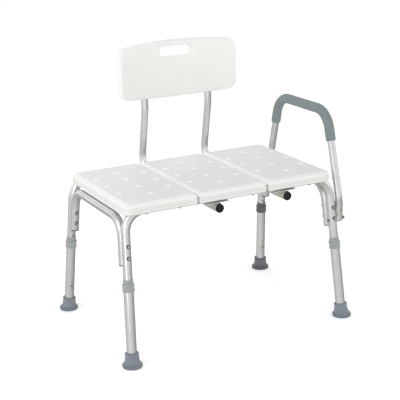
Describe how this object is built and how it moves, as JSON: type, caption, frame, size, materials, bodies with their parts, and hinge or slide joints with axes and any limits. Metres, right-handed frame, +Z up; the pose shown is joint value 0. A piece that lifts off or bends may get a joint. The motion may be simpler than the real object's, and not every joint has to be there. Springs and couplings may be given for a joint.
{
  "type": "bath transfer bench",
  "caption": "Bath transfer bench: moulded seat panels on a tube frame with extending legs, a slide-out backrest and a lift-off armrest.",
  "frame": {"origin": "on the floor under the middle of the whole footprint: halfway between the armrest end and the other end, and halfway between the front feet and the backrest tubes", "axes": "+X along the bench towards the armrest, -Y towards the front (the way the user faces), +Z up from the floor"},
  "size_m": [0.7605, 0.5791, 0.81],
  "materials": {
    "tube_alu": "satin, anodised",
    "collar": "matte",
    "foot_rubber": "matte",
    "foam": "matte, soft closed-cell foam",
    "shell": "satin, fine moulded grain",
    "black_plastic": "matte",
    "black_bracket": "satin",
    "brass": "satin",
    "spring_steel": "satin",
    "fastener": "zinc plated"
  },
  "bodies": {
    "frame": {"front_rail": "tube_alu", "rear_rail": "tube_alu", "left_side_frame": "tube_alu", "right_side_frame": "tube_alu", "side_frame_plugs": "black_plastic", "frame_bolts": "fastener", "frame_nuts": "fastener", "stop_rivets": "brass", "leg_clips": "spring_steel", "seat_panel_left": "shell", "seat_panel_middle": "shell", "seat_panel_right": "shell", "seat_screws": "fastener", "receiver_left": "tube_alu", "receiver_right": "tube_alu", "receiver_plugs": "black_plastic", "receiver_plates": "black_bracket", "arm_socket_front": "tube_alu", "arm_socket_rear": "tube_alu", "arm_saddles": "tube_alu", "arm_bolts": "fastener", "arm_nuts": "fastener"},
    "leg_fl": {"leg_tube_fl": "tube_alu", "leg_collar_fl": "collar", "foot_fl": "foot_rubber"},
    "leg_fr": {"leg_tube_fr": "tube_alu", "leg_collar_fr": "collar", "foot_fr": "foot_rubber"},
    "leg_rl": {"leg_tube_rl": "tube_alu", "leg_collar_rl": "collar", "foot_rl": "foot_rubber"},
    "leg_rr": {"leg_tube_rr": "tube_alu", "leg_collar_rr": "collar", "foot_rr": "foot_rubber"},
    "leg_latch_fl": {"leg_button_fl": "brass"},
    "leg_latch_fr": {"leg_button_fr": "brass"},
    "leg_latch_rl": {"leg_button_rl": "brass"},
    "leg_latch_rr": {"leg_button_rr": "brass"},
    "armrest": {"armrest_tube": "tube_alu", "armrest_grip": "foam", "arm_clips": "spring_steel"},
    "arm_latch_front": {"arm_button_front": "brass"},
    "arm_latch_rear": {"arm_button_rear": "brass"},
    "backrest": {"backrest_panel": "shell", "backrest_tube_left": "tube_alu", "backrest_tube_right": "tube_alu", "backrest_screws": "fastener", "backrest_clips": "spring_steel"},
    "back_latch_left": {"backrest_button_left": "brass"},
    "back_latch_right": {"backrest_button_right": "brass"}
  },
  "joints": [
    {"name": "leg_fl_extend", "type": "slide", "parent": "frame", "child": "leg_fl", "axis": [-0.045, -0.1217, -0.9915], "range_m": [0, 0.12]},
    {"name": "leg_fr_extend", "type": "slide", "parent": "frame", "child": "leg_fr", "axis": [0.045, -0.1217, -0.9915], "range_m": [0, 0.12]},
    {"name": "leg_rl_extend", "type": "slide", "parent": "frame", "child": "leg_rl", "axis": [-0.045, 0.1217, -0.9915], "range_m": [0, 0.12]},
    {"name": "leg_rr_extend", "type": "slide", "parent": "frame", "child": "leg_rr", "axis": [0.045, 0.1217, -0.9915], "range_m": [0, 0.12]},
    {"name": "leg_fl_button", "type": "slide", "parent": "frame", "child": "leg_latch_fl", "axis": [0, -0.9925, 0.1219], "range_m": [0, 0.0038], "stiffness_N_per_m": 900, "deforming": ["leg_clips"]},
    {"name": "leg_fr_button", "type": "slide", "parent": "frame", "child": "leg_latch_fr", "axis": [0, -0.9925, 0.1219], "range_m": [0, 0.0038], "stiffness_N_per_m": 900, "deforming": ["leg_clips"]},
    {"name": "leg_rl_button", "type": "slide", "parent": "frame", "child": "leg_latch_rl", "axis": [0, 0.9925, 0.1219], "range_m": [0, 0.0038], "stiffness_N_per_m": 900, "deforming": ["leg_clips"]},
    {"name": "leg_rr_button", "type": "slide", "parent": "frame", "child": "leg_latch_rr", "axis": [0, 0.9925, 0.1219], "range_m": [0, 0.0038], "stiffness_N_per_m": 900, "deforming": ["leg_clips"]},
    {"name": "armrest_lift", "type": "slide", "parent": "frame", "child": "armrest", "axis": [0, 0, 1], "range_m": [0, 0.18]},
    {"name": "arm_front_button", "type": "slide", "parent": "armrest", "child": "arm_latch_front", "axis": [0, 1, 0], "range_m": [0, 0.0038], "stiffness_N_per_m": 900, "deforming": ["arm_clips"]},
    {"name": "arm_rear_button", "type": "slide", "parent": "armrest", "child": "arm_latch_rear", "axis": [0, -1, 0], "range_m": [0, 0.0038], "stiffness_N_per_m": 900, "deforming": ["arm_clips"]},
    {"name": "backrest_slide", "type": "slide", "parent": "frame", "child": "backrest", "axis": [0, 1, 0], "range_m": [0, 0.18]},
    {"name": "back_left_button", "type": "slide", "parent": "backrest", "child": "back_latch_left", "axis": [0, 0, 1], "range_m": [0, 0.0038], "stiffness_N_per_m": 900, "deforming": ["backrest_clips"]},
    {"name": "back_right_button", "type": "slide", "parent": "backrest", "child": "back_latch_right", "axis": [0, 0, 1], "range_m": [0, 0.0038], "stiffness_N_per_m": 900, "deforming": ["backrest_clips"]}
  ]
}
